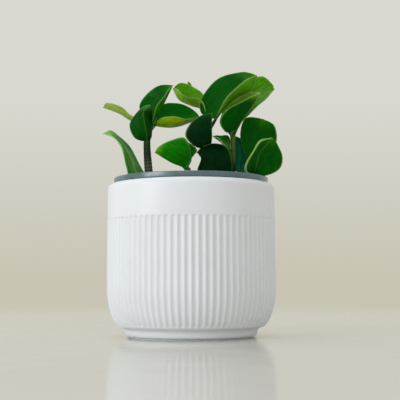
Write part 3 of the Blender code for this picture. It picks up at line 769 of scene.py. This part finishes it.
def pot_outside():
    """The outer pot's outline, from under the foot up to the inner edge of the shoulder's top."""
    waist = (PLINTH_RADIUS - WAIST_INSET, WAIST_SHARE * PLINTH_HEIGHT)
    rows = [(FOOT_RADIUS - FOOT_INSET, 0.0), (FOOT_RADIUS - FOOT_INSET, FOOT_LIFT)]
    rows += arc((FOOT_RADIUS, waist[1]), (waist[0] - FOOT_RADIUS, waist[1] - FOOT_LIFT), -85, 0, 6)
    corner = (BODY_RADIUS - CORNER_WIDTH, CORNER_TOP)
    wall = arc(corner, (CORNER_WIDTH, CORNER_TOP - PLINTH_HEIGHT), -72, 0, 30)
    hollow = (wall[0][0] + HOLLOW_GAP, waist[1])
    rows += arc(hollow, (waist[0] - hollow[0], wall[0][1] - 0.5 * HOLLOW_GAP - waist[1]), 15, 80, 5)
    rows += wall
    rows += [(wall_radius(height * MM), height * MM) for height in WALL_HEIGHTS]
    rows += arc((LIP_RADIUS, POT_HEIGHT - SHOULDER), (TOP_RADIUS - LIP_RADIUS, SHOULDER), 0, 90, 14)
    return rows


def pot_inside():
    """The outer pot's outline, from its lip down to the inner floor."""
    rows = arc((MOUTH_RADIUS + LIP_ROUND, POT_HEIGHT - LIP_ROUND), (LIP_ROUND, LIP_ROUND), 90, 180, 5)
    lip_bottom = POT_HEIGHT - LIP_DEPTH
    rows += [(MOUTH_RADIUS, lip_bottom), (TOP_RADIUS - WALL, lip_bottom - SHOULDER)]
    rows += [(wall_radius(height * MM) - WALL, height * MM) for height in INNER_HEIGHTS]
    rows += [(wall_radius(FLOOR_TOP) - WALL - FLOOR_CHAMFER, FLOOR_TOP)]
    return rows


def groove_shares(radius, height, outside):
    """How deep each point lies in a flute, from 0 to 1; the rows from outside on have no flutes."""
    travel = np.concatenate([[0.0], np.cumsum(np.hypot(np.diff(radius), np.diff(height)))])
    low = np.interp(FLUTE_BOTTOM, height[:outside], travel[:outside])
    high = np.interp(FLUTE_TOP, height[:outside], travel[:outside])
    offset = (np.arange(FLUTES * FLUTE_POINTS) % FLUTE_POINTS) / FLUTE_POINTS - 0.5
    pitch = math.tau * radius / FLUTES
    half = (GROOVE_SHARE * pitch)[:, None]
    sideways = np.abs(offset)[None, :] * pitch[:, None]
    past = np.maximum(np.maximum(low + half - travel[:, None], travel[:, None] - (high - half)), 0.0)
    groove = np.clip(1.0 - (sideways**2 + past**2) / half**2, 0.0, 1.0)
    groove[height > FLUTE_TOP + 1.0 * MM] = 0.0
    groove[outside:] = 0.0
    return groove


def make_pot():
    """The white pot, with round-ended grooves between narrow ridges."""
    outside = pot_outside()
    radius, height = np.array(outside + pot_inside()).T
    groove = groove_shares(radius, height, len(outside))
    depths = {"groove": ("FLOAT", np.append(groove.ravel(), [0.0, 0.0]))}
    made = turned("pot", radius[:, None] - FLUTE_DEPTH * groove, height, white_plastic(), POT_SHARP, depths)
    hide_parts("outer_pot")
    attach(made, "root")


def liner_profile():
    """The liner's outline, from under its foot over its rim to its inner floor."""
    seat = POT_HEIGHT + FIT_GAP
    top = seat + RIM_HEIGHT
    floor = LINER_BOTTOM + LINER_WALL
    rows = [(LINER_FOOT_RADIUS - LINER_CHAMFER, LINER_BOTTOM)]
    rows += [(LINER_FOOT_RADIUS, LINER_BOTTOM + LINER_CHAMFER), (LINER_TOP_RADIUS, seat)]
    rows += arc((LIP_RADIUS - RIM_EDGE, seat + RIM_EDGE), (RIM_EDGE, RIM_EDGE), -90, 0, 4)
    rows += arc((LIP_RADIUS - RIM_ROUND, top - RIM_ROUND), (RIM_ROUND, RIM_ROUND), 0, 90, 7)
    rows += arc((RIM_INNER_RADIUS + RIM_ROUND, top - RIM_ROUND), (RIM_ROUND, RIM_ROUND), 90, 180, 6)
    rows += [(LINER_TOP_RADIUS - LINER_WALL, seat)]
    rows += [(LINER_FOOT_RADIUS - LINER_WALL, floor + FLOOR_CHAMFER)]
    rows += [(LINER_FOOT_RADIUS - LINER_WALL - FLOOR_CHAMFER, floor)]
    return rows


def cut_drains(liner):
    """Cuts the round drain holes through the liner's floor."""
    bm = bmesh.new()
    for index in range(DRAIN_HOLES):
        angle = math.tau * index / DRAIN_HOLES
        hole = bmesh.ops.create_cone(
            bm, cap_ends=True, segments=24, radius1=DRAIN_RADIUS, radius2=DRAIN_RADIUS, depth=DRAIN_DEPTH
        )
        place = Vector((DRAIN_RING * math.cos(angle), DRAIN_RING * math.sin(angle), LINER_BOTTOM))
        bmesh.ops.translate(bm, verts=hole["verts"], vec=place)
    cutter = add_object("drain_cutters", mesh_from(bm, "drain_cutters"))
    liner.modifiers.new("cut", "BOOLEAN").object = cutter
    graph = bpy.context.evaluated_depsgraph_get()
    finished = bpy.data.meshes.new_from_object(liner.evaluated_get(graph))
    liner.modifiers.clear()
    liner.data = finished
    bpy.data.objects.remove(cutter)


def make_liner():
    """The blue-grey liner with its rounded rim and its drain holes."""
    radius, height = np.array(liner_profile()).T
    radii = np.repeat(radius[:, None], LINER_POINTS, 1)
    made = turned("liner", radii, height, liner_plastic(), LINER_SHARP)
    cut_drains(made)
    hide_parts("inner_pot")
    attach(made, "root")


def liner_inner_radius(height):
    """The liner's inner wall at a height below its rim."""
    seat = POT_HEIGHT + FIT_GAP
    floor = LINER_BOTTOM + LINER_WALL
    return mix(LINER_FOOT_RADIUS, LINER_TOP_RADIUS, (height - floor) / (seat - floor)) - LINER_WALL


def soil_top(x, y):
    """The height of the soil's lumpy top."""
    reach = math.hypot(x, y) / LINER_TOP_RADIUS
    lumps = 0.0
    for index, (height, scale) in enumerate(SOIL_LUMPS):
        lumps += height * noise.noise(Vector((x, y, 0.01 * index)) * scale)
    calm = min(1.0, LUMPS_FADE * (LUMPS_END - reach))
    return SOIL_LEVEL + SOIL_MOUND * (1.0 - reach * reach) + MM * lumps * calm


def make_soil():
    """The potting mix, and the crumbs, chips and pale grains on it."""
    floor = LINER_BOTTOM + LINER_WALL + FIT_GAP
    outer = liner_inner_radius(SOIL_LEVEL) - FIT_GAP
    bottom = liner_inner_radius(floor) - FIT_GAP
    angles = np.arange(SOIL_POINTS) * (math.tau / SOIL_POINTS)
    rings = [[(bottom * math.cos(a), bottom * math.sin(a), floor) for a in angles]]
    for share in np.linspace(1.0, SOIL_CENTRE, SOIL_ROWS):
        flat = [(outer * share * math.cos(a), outer * share * math.sin(a)) for a in angles]
        rings.append([(x, y, soil_top(x, y)) for x, y in flat])
    hubs = [(0.0, 0.0, floor), (0.0, 0.0, soil_top(0.0, 0.0))]
    made = new_object("soil_bed", *closed_skin(np.array(rings), hubs), [potting_mix()], SOIL_SHARP)
    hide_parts("soil")
    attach(made, "root")
    crumb = soil_bits("soil_crumb", SOIL_DARK, SOIL_BROWN, 0.95)
    chip = soil_bits("bark_chip", BARK_DARK, BARK_PALE, 0.8)
    perlite = soil_bits("perlite", PERLITE_GREY, PERLITE_WHITE, 0.85)
    scatter("soil_crumbs", CRUMBS, crumb, outer)
    scatter("bark_chips", CHIPS, chip, outer)
    scatter("perlite_grains", PERLITE, perlite, outer)


def scatter(name, kind, material, reach):
    """Small rough lumps laid at random on the soil, as one piece."""
    count, sizes, flatness = kind
    draw = random.Random(f"{SEED}{name}")
    bm = bmesh.new()
    for _ in range(count):
        size = draw.uniform(*sizes) * MM
        distance = (reach - 2.0 * sizes[1] * MM) * math.sqrt(draw.random())
        angle = draw.uniform(0.0, math.tau)
        x, y = distance * math.cos(angle), distance * math.sin(angle)
        shape = bmesh.ops.create_icosphere(bm, subdivisions=1, radius=1.0)["verts"]
        turn = Matrix.Rotation(draw.uniform(0, math.tau), 4, "Z")
        turn = turn @ Matrix.Rotation(draw.uniform(-0.5, 0.5), 4, "X")
        sides = (size * draw.uniform(0.7, 1.3), size * draw.uniform(0.6, 1.0), size * flatness)
        for vertex in shape:
            vertex.co *= draw.uniform(*GRAIN_LUMPS)
        place = Matrix.Translation((x, y, soil_top(x, y) + GRAIN_LIFT * size * flatness))
        bmesh.ops.transform(bm, matrix=place @ turn @ Matrix.Diagonal((*sides, 1.0)), verts=shape)
    made = add_object(name, mesh_from(bm, name))
    made.data.materials.append(material)
    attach(made, "root")


def smooth_route(points, shares):
    """Points on the smooth curve through the given points, by their shares of the way along them."""
    points = np.asarray(points, dtype=float)
    steps = np.linalg.norm(np.diff(points, axis=0), axis=1)
    reach = np.concatenate([[0.0], np.cumsum(steps)])
    target = np.clip(shares, 0.0, 1.0) * reach[-1]
    index = np.clip(np.searchsorted(reach, target, side="right") - 1, 0, len(steps) - 1)
    padded = np.vstack([2.0 * points[0] - points[1], points, 2.0 * points[-1] - points[-2]])
    gaps = np.concatenate([[steps[0]], steps, [steps[-1]]])
    pulls = (padded[2:] - padded[:-2]) / (gaps[:-1] + gaps[1:])[:, None]
    t = ((target - reach[index]) / steps[index])[:, None]
    scale = steps[index][:, None]
    start, end = points[index], points[index + 1]
    h = (2 * t**3 - 3 * t**2 + 1, t**3 - 2 * t**2 + t, -2 * t**3 + 3 * t**2, t**3 - t**2)
    return start * h[0] + pulls[index] * scale * h[1] + end * h[2] + pulls[index + 1] * scale * h[3]


def headings(points, shares, step=0.01):
    """The directions of the smooth curve at shares of its length."""
    after = smooth_route(points, np.minimum(shares + step, 1.0))
    return unit(after - smooth_route(points, np.maximum(shares - step, 0.0)))


class Growth:
    """Gathers the stem and the leaves of one shoot in one mesh."""

    def __init__(self):
        self.vertices = []
        self.faces = []
        self.slots = []
        self.values = {"tint": [], "leaf": [], "side": [], "rib": [], "margin": [], "ring": [], "height": []}

    def add(self, vertices, faces, slot, **values):
        """Adds points and faces with the values that their shader reads."""
        start = sum(len(block) for block in self.vertices)
        self.vertices.append(vertices)
        self.faces += [tuple(start + corner for corner in face) for face in faces]
        self.slots += [slot] * len(faces)
        count = len(vertices)
        blank = {"tint": np.ones((count, 4)), "leaf": np.zeros((count, 3))}
        for key in self.values:
            self.values[key].append(values.get(key, blank.get(key, np.zeros(count))))

    def build(self, name, materials):
        """The finished object."""
        kinds = {"tint": "FLOAT_COLOR", "leaf": "FLOAT_VECTOR"}
        values = {key: (kinds.get(key, "FLOAT"), np.concatenate(own)) for key, own in self.values.items()}
        vertices = np.concatenate(self.vertices)
        return new_object(name, vertices, self.faces, materials, PLANT_SHARP, values, self.slots)


def add_stem(growth, points, radii, draw, scar_spacing):
    """A tapered stem with thin rings where old leaves fell off, and a domed top."""
    shares = np.linspace(0.0, 1.0, STEM_ROWS)
    centres = smooth_route(points, shares) * MM
    along = headings(points, shares)
    across = unit(np.cross(along, (0.0, 1.0, 0.0)))
    beside = np.cross(along, across)
    height = centres[:, 2]
    rings = np.zeros(STEM_ROWS)
    level = SOIL_LEVEL + FIRST_SCAR
    while level < height[-1]:
        rings = np.maximum(rings, np.exp(-(((height - level) / SCAR_WIDTH) ** 2)))
        level += draw.uniform(*scar_spacing) * MM
    radius = mix(radii[0], radii[1], shares) * MM * (1.0 + SCAR_RELIEF * rings)
    angles = np.arange(STEM_SIDES) * (math.tau / STEM_SIDES)
    lumps = 1.0 + STEM_LUMPS * np.sin(3.0 * angles + draw.uniform(0.0, 6.0))[None, :]
    spread = radius[:, None] * lumps
    grid = centres[:, None] + across[:, None] * (spread * np.cos(angles))[..., None]
    grid = grid + beside[:, None] * (spread * np.sin(angles))[..., None]
    rise = along[-1] * DOME_SHARE * radius[-1]
    turns = [0.5 * math.pi * step / DOME_ROWS for step in range(1, DOME_ROWS)]
    caps = [centres[-1] + (grid[-1] - centres[-1]) * math.cos(a) + rise * math.sin(a) for a in turns]
    grid = np.concatenate([grid, np.array(caps)])
    vertices, faces = closed_skin(grid, [centres[0], centres[-1] + rise])
    scarred = np.concatenate([np.repeat(rings, STEM_SIDES), np.zeros(len(caps) * STEM_SIDES + 2)])
    tall = np.clip((vertices[:, 2] - SOIL_LEVEL) / (height[-1] - SOIL_LEVEL), 0.0, 1.0)
    growth.add(vertices, faces, 1, ring=scarred, height=tall)


def leaf_rows(midrib, margins):
    """The rows along a stalk and its blade: places, headings and shares, and how far each half reaches."""
    stalk, rib = midrib[:2], midrib[1:]
    margins = [np.array([rib[0], *margin, rib[-1]], dtype=float) for margin in margins]
    turns = np.linspace(0.0, 1.0, BLADE_ROWS)
    shares = TIP_SHARE * mix(turns, 0.5 - 0.5 * np.cos(math.pi * turns), CLOSER_ENDS)
    centres = smooth_route(rib, shares)
    along = headings(rib, shares)
    reaches = [smooth_route(margin, shares) - centres for margin in margins]
    stalk_shares = np.linspace(0.0, 1.0, STALK_ROWS, endpoint=False)[:, None]
    stalk_along = unit(mix(unit(stalk[1:] - stalk[:1]), along[:1], ease(stalk_shares)))
    centres = np.vstack([mix(stalk[:1], stalk[1:], stalk_shares), centres])
    along = np.vstack([stalk_along, along])
    shares = np.concatenate([np.zeros(STALK_ROWS), shares])
    reaches = [np.vstack([np.zeros((STALK_ROWS, 3)), reach]) for reach in reaches]
    first = np.array([FIRST_BLADE_SHARE])
    starts = [smooth_route(margin, first) - smooth_route(rib, first) for margin in margins]
    level = [unit(start - along * (along * start).sum(1, keepdims=True)) for start in starts]
    return centres * MM, along, shares, reaches, unit(level[0] - level[1])


def leaf_halves(along, shares, reaches, flat):
    """Each half's way out from the midrib, its width, how open it is, and the way its upper side faces."""
    opening = ease(shares / FIRST_BLADE_SHARE)[:, None]
    least = mix(STALK_RADIUS, TIP_HALF_WIDTH, ease(shares / TAPER_END))[:, None]
    halves = []
    for sign, reach in zip((1.0, -1.0), reaches):
        size = lengths(reach) * MM
        opened = np.clip(size / FLAT_BELOW, 0.0, 1.0)
        way = unit(mix(sign * flat, unit(reach), opened * mix(opening, 1.0, opening)))
        halves.append((way, np.maximum(size, least), opened, unit(np.cross(along, sign * way))))
    return halves


def blade_columns(centres, shares, halves, draw):
    """The lines of points along a leaf: upper side, lower side, edges, and their distance from the midrib."""
    phase = [draw.uniform(0.0, math.tau) for _ in range(2)]
    waves = [draw.uniform(*WAVES) for _ in range(2)]
    middle = unit(halves[0][3] + halves[1][3])
    rib_half = mix(MIDRIB_HALF_THICKNESS, MARGIN_HALF_THICKNESS, shares)[:, None]
    thinner = (1.0 - STALK_THINNING * shares)[:, None]
    upper, lower, edges, crosses = [], [], [], []
    for column in COLUMNS:
        index, out = int(column > 0.0), abs(column)
        way, width, opened, normal = halves[index]
        if column == 0.0:
            opened = np.minimum(halves[0][2], halves[1][2])
        flat_half = mix(BLADE_HALF_THICKNESS, MARGIN_HALF_THICKNESS, out)
        if out < RIB_FADE:
            flat_half = mix(rib_half, flat_half, ease(out / RIB_FADE))
            normal = unit(mix(middle, normal, ease(out / CREASE_FADE)))
        round_half = STALK_RADIUS * mix(1.0, STALK_EDGE, out * out) * thinner
        half_thickness = mix(round_half, flat_half, opened)
        bow = BOW * width * opened * math.sin(math.pi * out)
        ripple = np.sin(math.tau * waves[index] * shares + phase[index])[:, None]
        ripple = WAVE * out * out * opened * ripple
        place = centres + way * (width * out) - normal * bow + normal * ripple
        upper.append(place + normal * half_thickness)
        lower.append(place - normal * half_thickness)
        edges.append(place + way * (half_thickness * EDGE_BULGE))
        crosses.append(math.copysign(1.0, column) * (width * out)[:, 0] / MM)
    return upper, lower, (edges[0], edges[-1]), crosses


def ring_order(first, columns, last, below):
    """Values in the order of a leaf's rings: an edge, across the top, the other edge, back underneath."""
    return [first, *columns, last, *reversed(below)]


def leaf_tints(looks, shares, side, signs):
    """A leaf's colour at each point, and how pale its margins are there."""
    upper, left, right, tip = (np.array(GREENS[word]) for word in looks[:4])
    under = np.where(signs[:, None] < 0, left, right)
    # Upper and under greens, which carry the leaf's painted light and shade
    colour = mix(under, upper, (0.5 + 0.5 * side)[:, None])[None]
    shares = shares[:, None, None]
    for tint, (start, reach, strength) in ((tip, TIP_PART), (np.array(DRY_TIP), DRY_PART)):
        colour = mix(colour, tint, strength * ease((shares - start) / reach))
    start, reach, strength = STALK_PART
    colour = mix(colour, np.array(STALK_GREEN), strength * (1.0 - ease((shares - start) / reach)))
    pallor = np.where(signs < 0, looks[5], looks[6]) * mix(*PALLOR_ENDS, shares[..., 0])
    return colour, pallor.ravel()


def add_leaf(growth, looks, midrib, margins, draw):
    """One leaf: a round stalk that opens into a folded blade with a rounded edge."""
    midrib = np.array(midrib, dtype=float)
    centres, along, shares, reaches, flat = leaf_rows(midrib, margins)
    halves = leaf_halves(along, shares, reaches, flat)
    upper, lower, edges, crosses = blade_columns(centres, shares, halves, draw)
    grid = np.stack(ring_order(edges[0], upper, edges[1], lower), 1)
    rows, count = grid.shape[:2]
    vertices, faces = closed_skin(grid, [centres[0], centres[-1] + along[-1] * TIP_POINT])
    faced = [1.0] * len(COLUMNS)
    side = np.array(ring_order(0.0, faced, 0.0, [-1.0] * len(COLUMNS)))
    outs = [abs(column) for column in COLUMNS]
    signs = [math.copysign(1.0, column) for column in COLUMNS]
    signs = np.array(ring_order(-1.0, signs, 1.0, signs))
    places = np.zeros((rows, count, 3))
    places[..., 0] = (shares * lengths(np.diff(midrib[1:], axis=0)).sum())[:, None]
    places[..., 1] = np.stack(ring_order(crosses[0], crosses, crosses[-1], crosses), 1)
    places[..., 2] = np.array(ring_order(1.0, outs, 1.0, outs)) * ease(shares / MARGIN_START)[:, None]
    places = places.reshape(-1, 3)
    colour, pallor = leaf_tints(looks, shares, side, signs)
    tint = np.concatenate([colour, np.ones((rows, count, 1))], -1).reshape(-1, 4)
    growth.add(
        vertices,
        faces,
        0,
        tint=np.concatenate([tint, tint[[0, -1]]]),
        leaf=np.concatenate([places, places[[0, -1]]]),
        side=np.append(np.tile(side, rows), [0.0, 0.0]),
        rib=np.full(len(vertices), looks[4]),
        margin=np.concatenate([pallor, pallor[[0, -1]]]),
    )


def make_plant():
    """The shoots, each as one piece that stands for its node."""
    skin = leaf_skin()
    bark = stem_skin("stem_bark", BARK_LOW, BARK_HIGH, BARK_SCAR, 0.75)
    green = stem_skin("stem_green", STEM_SHADED_LOW, STEM_HIGH, STEM_SCAR, 0.5)
    for name, (route, radii) in STEMS.items():
        draw = random.Random(f"{SEED}{name}")
        growth = Growth()
        stem, scars = (bark, BARK_SCARS) if name == "shoot_left" else (green, GREEN_SCARS)
        add_stem(growth, route, radii, draw, scars)
        for looks, midrib, *margins in LEAVES[name].values():
            add_leaf(growth, looks, midrib, margins, draw)
        made = growth.build(name.replace("shoot", "foliage"), [skin, stem])
        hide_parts(name)
        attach(made, "root")


def make_camera():
    """The camera at the photograph's place and angle."""
    flat = math.cos(CAMERA_PITCH)
    turn, rise = (math.sin(CAMERA_YAW), math.cos(CAMERA_YAW)), math.sin(CAMERA_PITCH)
    forward = Vector((turn[0] * flat, turn[1] * flat, rise))
    level = Vector((turn[1], -turn[0], 0.0))
    upward = level.cross(forward)
    right = level * math.cos(CAMERA_ROLL) + upward * math.sin(CAMERA_ROLL)
    up = upward * math.cos(CAMERA_ROLL) - level * math.sin(CAMERA_ROLL)
    place = Vector((0.0, -CAMERA_DISTANCE, CAMERA_HEIGHT))
    camera = add_object("camera", bpy.data.cameras.new("camera"))
    camera.matrix_world = Matrix.Translation(place) @ Matrix((right, up, -forward)).transposed().to_4x4()
    camera.data.sensor_width = SENSOR
    camera.data.lens = SENSOR * FOCAL_PIXELS / FRAME_PIXELS
    camera.data.clip_start = 0.01
    bpy.context.scene.camera = camera


def make_light(name, place, size, power, colour, mirrored):
    """A soft square light that points at the plant and may show in reflections."""
    data = bpy.data.lights.new(name, "AREA")
    data.shape = "SQUARE"
    data.size = size
    data.energy = power
    data.color = colour
    light = add_object(name, data)
    light.location = place
    light.rotation_euler = (Vector(AIM) - Vector(place)).to_track_quat("-Z", "Y").to_euler()
    light.visible_camera = False
    light.visible_glossy = mirrored


def make_studio():
    """The pale floor, the backdrop and soft lights."""
    bm = bmesh.new()
    bmesh.ops.create_circle(bm, cap_ends=True, segments=96, radius=FLOOR_RADIUS)
    floor = add_object("floor", mesh_from(bm, "floor"))
    floor.data.materials.append(floor_paint())
    bm = bmesh.new()
    bmesh.ops.create_uvsphere(bm, u_segments=64, v_segments=32, radius=BACKDROP_RADIUS)
    backdrop = add_object("backdrop", mesh_from(bm, "backdrop"))
    backdrop.data.shade_smooth()
    backdrop.data.materials.append(backdrop_paint())
    for ray in ("diffuse", "transmission", "volume_scatter", "shadow"):
        setattr(backdrop, f"visible_{ray}", False)
    for name, settings in LIGHTS.items():
        make_light(name, *settings)
    world = bpy.data.worlds.new("studio")
    world.use_nodes = True
    sky = world.node_tree.nodes["Background"]
    sky.inputs["Color"].default_value = (*AMBIENT, 1.0)
    sky.inputs["Strength"].default_value = AMBIENT_STRENGTH
    bpy.context.scene.world = world
    bpy.context.scene.view_settings.view_transform = "Standard"
    bpy.context.scene.view_settings.look = "None"


make_pot()
make_liner()
make_soil()
make_plant()
make_studio()
make_camera()
